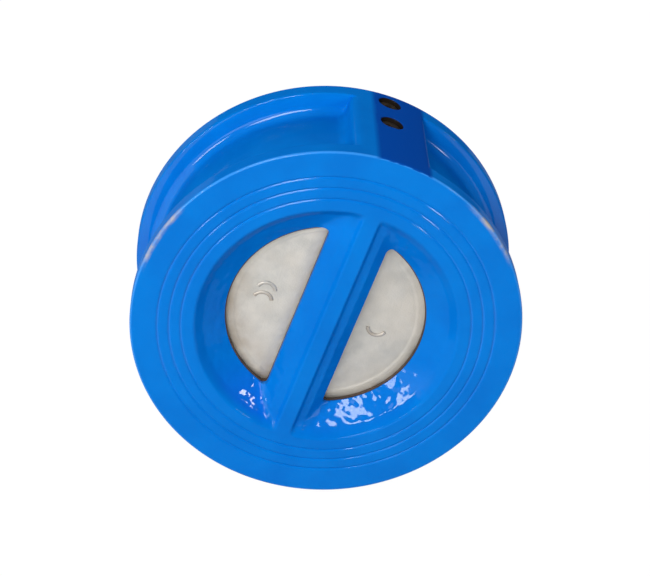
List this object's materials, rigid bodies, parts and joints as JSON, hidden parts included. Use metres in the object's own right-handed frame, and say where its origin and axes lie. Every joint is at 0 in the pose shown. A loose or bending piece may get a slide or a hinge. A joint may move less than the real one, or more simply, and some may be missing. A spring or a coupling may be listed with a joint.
{
  "type": "wafer check valve",
  "caption": "Dual-plate wafer check valve: blue ring body with grooved gasket faces, conical mouth and bridge, spring-shut half-moon plates on a hinge pin.",
  "frame": {"origin": "centre of the body, on the flow axis, half way between the gasket faces", "axes": "+Y along the flow from inlet to outlet, +Z along the hinge pin, +X to the right seen from the inlet"},
  "size_m": [0.162, 0.064, 0.162],
  "materials": {
    "body_paint": "glossy blue epoxy paint on an iron casting, lumpy in the mouth and smooth on the machined faces",
    "seat_rubber": "dark brown-black moulded rubber",
    "plate_metal": "bead-blasted cast stainless steel, warm silver grey",
    "pin_steel": "ground stainless steel",
    "spring_steel": "drawn stainless steel wire",
    "plug_steel": "dark oxidised steel with brown thread sealant",
    "seal_rubber": "black rubber",
    "bearing_white": "off-white low-friction plastic"
  },
  "bodies": {
    "valve_body": {"body": "body_paint", "seat_seal": "seat_rubber", "hinge_pin": "pin_steel", "stop_pin": "pin_steel", "left_spring": "spring_steel", "right_spring": "spring_steel", "upper_hinge_plug": "plug_steel", "lower_hinge_plug": "plug_steel", "upper_stop_plug": "plug_steel", "lower_stop_plug": "plug_steel", "upper_hinge_plug_seal": "seal_rubber", "lower_hinge_plug_seal": "seal_rubber", "upper_stop_plug_seal": "seal_rubber", "lower_stop_plug_seal": "seal_rubber", "upper_body_bearing": "bearing_white", "lower_body_bearing": "bearing_white", "upper_plate_bearing": "bearing_white", "lower_plate_bearing": "bearing_white", "upper_spring_bearing": "bearing_white", "lower_spring_bearing": "bearing_white", "middle_spring_bearing": "bearing_white"},
    "left_plate": {"left_plate": "plate_metal"},
    "right_plate": {"right_plate": "plate_metal"}
  },
  "joints": [
    {"name": "left_plate_hinge", "type": "hinge", "parent": "valve_body", "child": "left_plate", "pos_m": [0, 0.005, 0], "axis": [0, 0, -1], "range_deg": [0, 82], "stiffness_Nm_per_rad": 0.47, "springref_deg": -34.38, "deforming": ["left_spring"]},
    {"name": "right_plate_hinge", "type": "hinge", "parent": "valve_body", "child": "right_plate", "pos_m": [0, 0.005, 0], "axis": [0, 0, 1], "range_deg": [0, 82], "stiffness_Nm_per_rad": 0.47, "springref_deg": -34.38, "deforming": ["right_spring"]}
  ]
}
